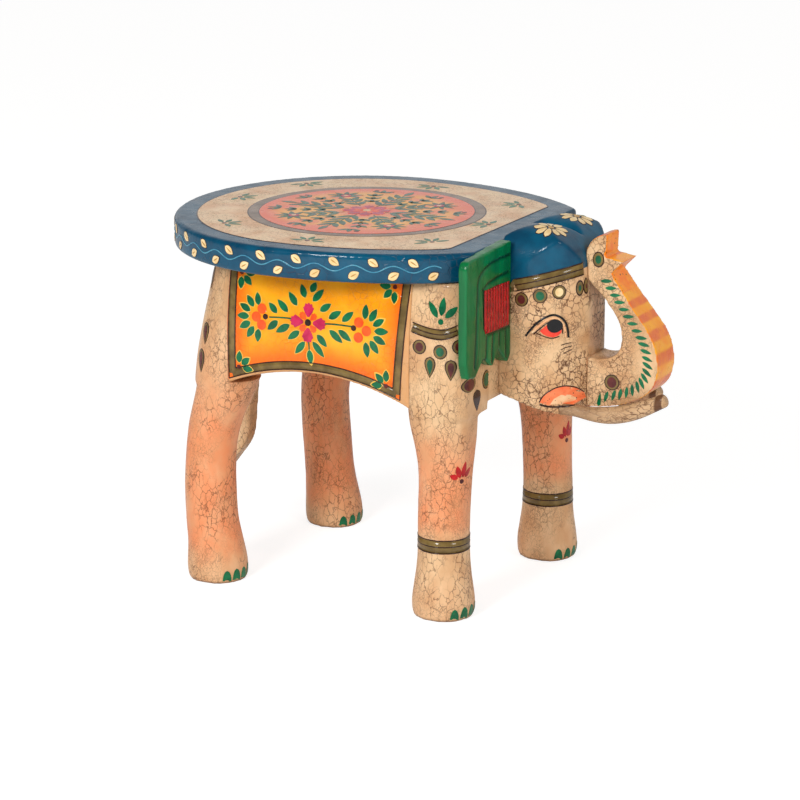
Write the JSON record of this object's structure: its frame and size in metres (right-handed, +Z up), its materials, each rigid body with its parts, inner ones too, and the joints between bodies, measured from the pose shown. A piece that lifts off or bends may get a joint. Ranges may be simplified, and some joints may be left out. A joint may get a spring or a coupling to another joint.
{
  "type": "carved elephant stool",
  "caption": "Low wooden stool carved as a standing elephant: an egg-shaped seat board on a glued-up body with posts for legs, raised trunk, flared ears and tusks.",
  "frame": {"origin": "on the floor, under the middle of the whole stool's footprint box", "axes": "+X from the tail to the trunk, +Y to the animal's left, +Z up"},
  "size_m": [0.439, 0.304, 0.311],
  "materials": {
    "painted_seat": "painted blue border and cream crackled field, glossy varnish",
    "painted_cream": "cream paint with brown crackle and salmon shading, satin varnish",
    "painted_saddle": "yellow-orange painted cloth with an olive-bronze border, glossy varnish",
    "painted_green": "green paint over carved grooves, glossy varnish",
    "painted_tusk": "off-white paint with a dark ring, satin varnish",
    "bare_wood": "bare turned hardwood"
  },
  "bodies": {
    "root": {"seat_board": "painted_seat", "core_block": "painted_cream", "chest_block": "painted_cream", "rump_block": "painted_cream", "flank_right": "painted_saddle", "flank_left": "painted_saddle", "post_front_right": "painted_cream", "post_front_left": "painted_cream", "post_rear_right": "painted_cream", "post_rear_left": "painted_cream", "head": "painted_cream", "trunk": "painted_cream", "ear_right": "painted_green", "ear_left": "painted_green", "tusk_right": "painted_tusk", "tusk_left": "painted_tusk", "tail": "painted_cream", "seat_dowels": "bare_wood", "flank_dowels": "bare_wood", "end_dowels": "bare_wood", "core_dowels": "bare_wood", "head_dowels": "bare_wood", "trunk_dowels": "bare_wood", "ear_dowels": "bare_wood", "tail_dowels": "bare_wood"}
  },
  "joints": []
}
